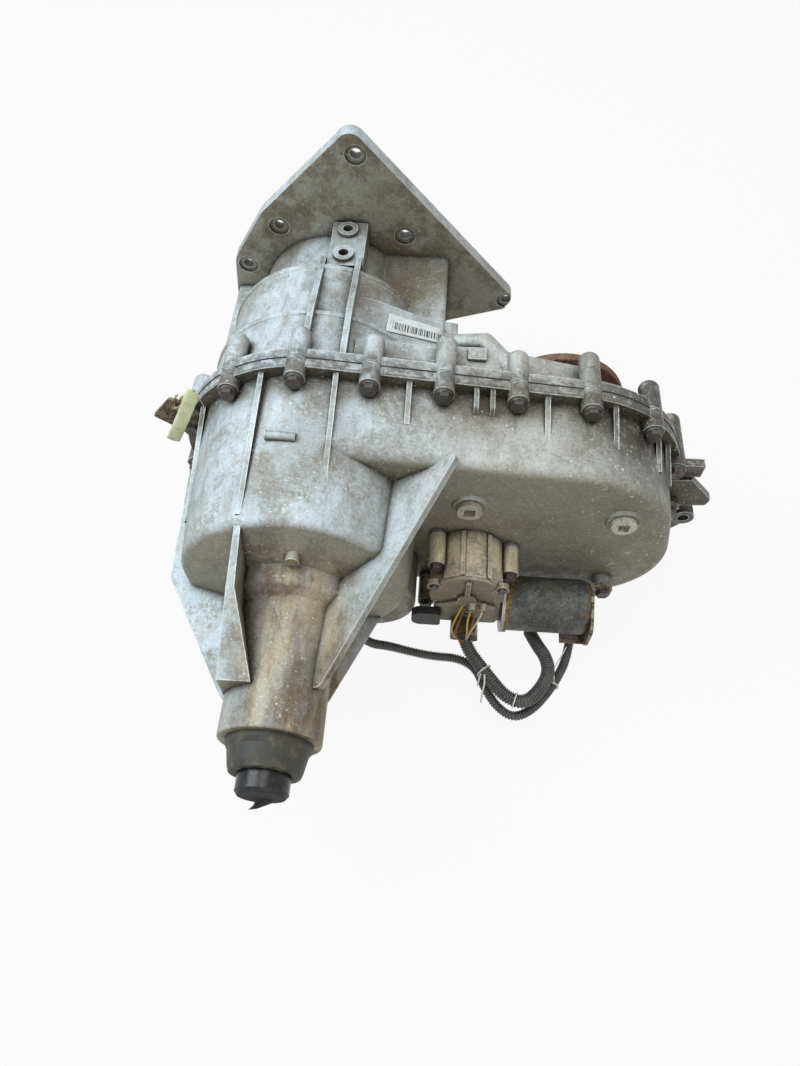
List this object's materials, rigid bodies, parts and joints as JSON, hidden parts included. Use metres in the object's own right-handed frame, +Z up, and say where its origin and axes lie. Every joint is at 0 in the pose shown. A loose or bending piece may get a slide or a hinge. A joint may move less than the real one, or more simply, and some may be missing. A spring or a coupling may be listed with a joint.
{
  "type": "transfer case",
  "caption": "Cast two-piece transfer case with planetary low range, chain drive to a front output flange, electric shift motor and plugged rear tail.",
  "frame": {"origin": "centre of the adapter face, on the axis of the input and main shaft", "axes": "+X to the front output, +Y forward along the shaft to the transmission, +Z up"},
  "size_m": [0.5345, 0.566, 0.3343],
  "materials": {
    "cast_aluminium": "rough cast, oily stains",
    "sealant": "cured black bead",
    "bolt_steel": "zinc plated, dull",
    "plug_steel": "plain, dull",
    "bearing_steel": "ground",
    "gear_steel": "machined, oiled",
    "shaft_steel": "ground",
    "chain_steel": "dark, oiled",
    "stamped_steel": "plain pressed",
    "friction_lining": "paper lining",
    "bronze": "machined",
    "copper_coil": "wound and varnished",
    "rubber": "dull",
    "gloss_black": "glossy",
    "rusty_steel": "rusted",
    "motor_cast": "cast, yellowed",
    "can_black": "black paint with rust",
    "conduit": "corrugated",
    "connector": "moulded",
    "tie": "white nylon",
    "amber_rubber": "moulded, browned"
  },
  "bodies": {
    "case": {"front_case": "cast_aluminium", "rear_case": "cast_aluminium", "case_sealant": "sealant", "case_bolts": "bolt_steel", "dowel_pins": "bolt_steel", "fill_plug": "plug_steel", "drain_plug": "plug_steel", "rear_seal_boot": "rubber", "input_seal": "rubber", "input_bearing": "bearing_steel", "ring_gear": "gear_steel", "rear_bearing": "bearing_steel", "tail_bushing": "bronze", "drive_chain": "chain_steel", "clutch_coil": "copper_coil", "oil_pump": "stamped_steel", "oil_pickup": "gloss_black", "output_seal": "rubber", "output_bearing": "bearing_steel", "output_needle": "bearing_steel", "shift_rail": "shaft_steel", "motor_housing": "motor_cast", "motor_cover": "motor_cast", "motor_end_bell": "stamped_steel", "motor_can": "can_black", "motor_strap": "rusty_steel", "motor_bolts": "bolt_steel", "wire_boot": "amber_rubber", "speed_sensor": "connector", "conduit_main": "conduit", "conduit_sensor": "conduit", "cable_ties": "tie", "harness_connector": "connector", "tag_bracket": "rusty_steel"},
    "input_shaft": {"input_shaft": "shaft_steel", "pilot_bearing": "bearing_steel"},
    "carrier": {"planet_carrier": "gear_steel", "planet_pins": "shaft_steel"},
    "planet_1": {"planet_gear_1": "gear_steel"},
    "planet_2": {"planet_gear_2": "gear_steel"},
    "planet_3": {"planet_gear_3": "gear_steel"},
    "main_shaft": {"main_shaft": "shaft_steel", "clutch_hub": "gear_steel", "friction_plates": "friction_lining", "tone_ring": "stamped_steel"},
    "range_hub": {"range_hub": "gear_steel"},
    "chain_drive": {"drive_sprocket": "gear_steel", "clutch_cage": "stamped_steel", "steel_plates": "stamped_steel", "clutch_armature": "stamped_steel"},
    "front_output": {"driven_sprocket": "gear_steel", "front_output_shaft": "shaft_steel", "front_output_flange": "rusty_steel", "flange_nut": "rusty_steel"},
    "shift_fork": {"shift_fork": "motor_cast"},
    "shift_shaft": {"shift_shaft": "shaft_steel", "worm_wheel": "bronze"},
    "motor_worm": {"motor_worm": "shaft_steel"},
    "tail_plug": {"tail_plug": "gloss_black"}
  },
  "joints": [
    {"name": "main_spin", "type": "hinge", "parent": "case", "child": "main_shaft", "pos_m": [0, 0, 0], "axis": [0, 1, 0], "continuous": true, "deforming": ["drive_chain"]},
    {"name": "input_spin", "type": "hinge", "parent": "case", "child": "input_shaft", "pos_m": [0, 0, 0], "axis": [0, 1, 0], "continuous": true},
    {"name": "carrier_spin", "type": "hinge", "parent": "case", "child": "carrier", "pos_m": [0, 0, 0], "axis": [0, 1, 0], "continuous": true},
    {"name": "drive_spin", "type": "hinge", "parent": "case", "child": "chain_drive", "pos_m": [0, 0, 0], "axis": [0, 1, 0], "continuous": true},
    {"name": "front_output_spin", "type": "hinge", "parent": "case", "child": "front_output", "pos_m": [0.24109, 0, -0.01], "axis": [0, 1, 0], "continuous": true},
    {"name": "planet_1_spin", "type": "hinge", "parent": "carrier", "child": "planet_1", "pos_m": [0.06, 0, 0], "axis": [0, 1, 0], "continuous": true},
    {"name": "planet_2_spin", "type": "hinge", "parent": "carrier", "child": "planet_2", "pos_m": [-0.03, 0, 0.05196], "axis": [0, 1, 0], "continuous": true},
    {"name": "planet_3_spin", "type": "hinge", "parent": "carrier", "child": "planet_3", "pos_m": [-0.03, 0, -0.05196], "axis": [0, 1, 0], "continuous": true},
    {"name": "shift_turn", "type": "hinge", "parent": "case", "child": "shift_shaft", "pos_m": [0.155, -0.2, -0.041], "axis": [0, 1, 0], "range_deg": [0, 100]},
    {"name": "fork_slide", "type": "slide", "parent": "case", "child": "shift_fork", "axis": [0, -1, 0], "range_m": [0, 0.016]},
    {"name": "hub_slide", "type": "slide", "parent": "main_shaft", "child": "range_hub", "axis": [0, -1, 0], "range_m": [0, 0.016]},
    {"name": "worm_spin", "type": "hinge", "parent": "case", "child": "motor_worm", "pos_m": [0.155, -0.346, -0.079], "axis": [1, 0, 0], "range_deg": [-3810, 3810]},
    {"name": "tail_plug_slide", "type": "slide", "parent": "case", "child": "tail_plug", "axis": [0, -1, 0], "range_m": [0, 0.06]}
  ],
  "couplings": [
    {"joint": "input_spin", "follows": "main_spin", "ratio": 1},
    {"joint": "carrier_spin", "follows": "main_spin", "ratio": 0.375},
    {"joint": "drive_spin", "follows": "main_spin", "ratio": 1},
    {"joint": "front_output_spin", "follows": "main_spin", "ratio": 1},
    {"joint": "planet_1_spin", "follows": "main_spin", "ratio": -1.875},
    {"joint": "planet_2_spin", "follows": "main_spin", "ratio": -1.875},
    {"joint": "planet_3_spin", "follows": "main_spin", "ratio": -1.875},
    {"joint": "fork_slide", "follows": "shift_turn", "m_per_rad": 0.0091673},
    {"joint": "hub_slide", "follows": "shift_turn", "m_per_rad": 0.0091673},
    {"joint": "worm_spin", "follows": "shift_turn", "ratio": 38}
  ]
}
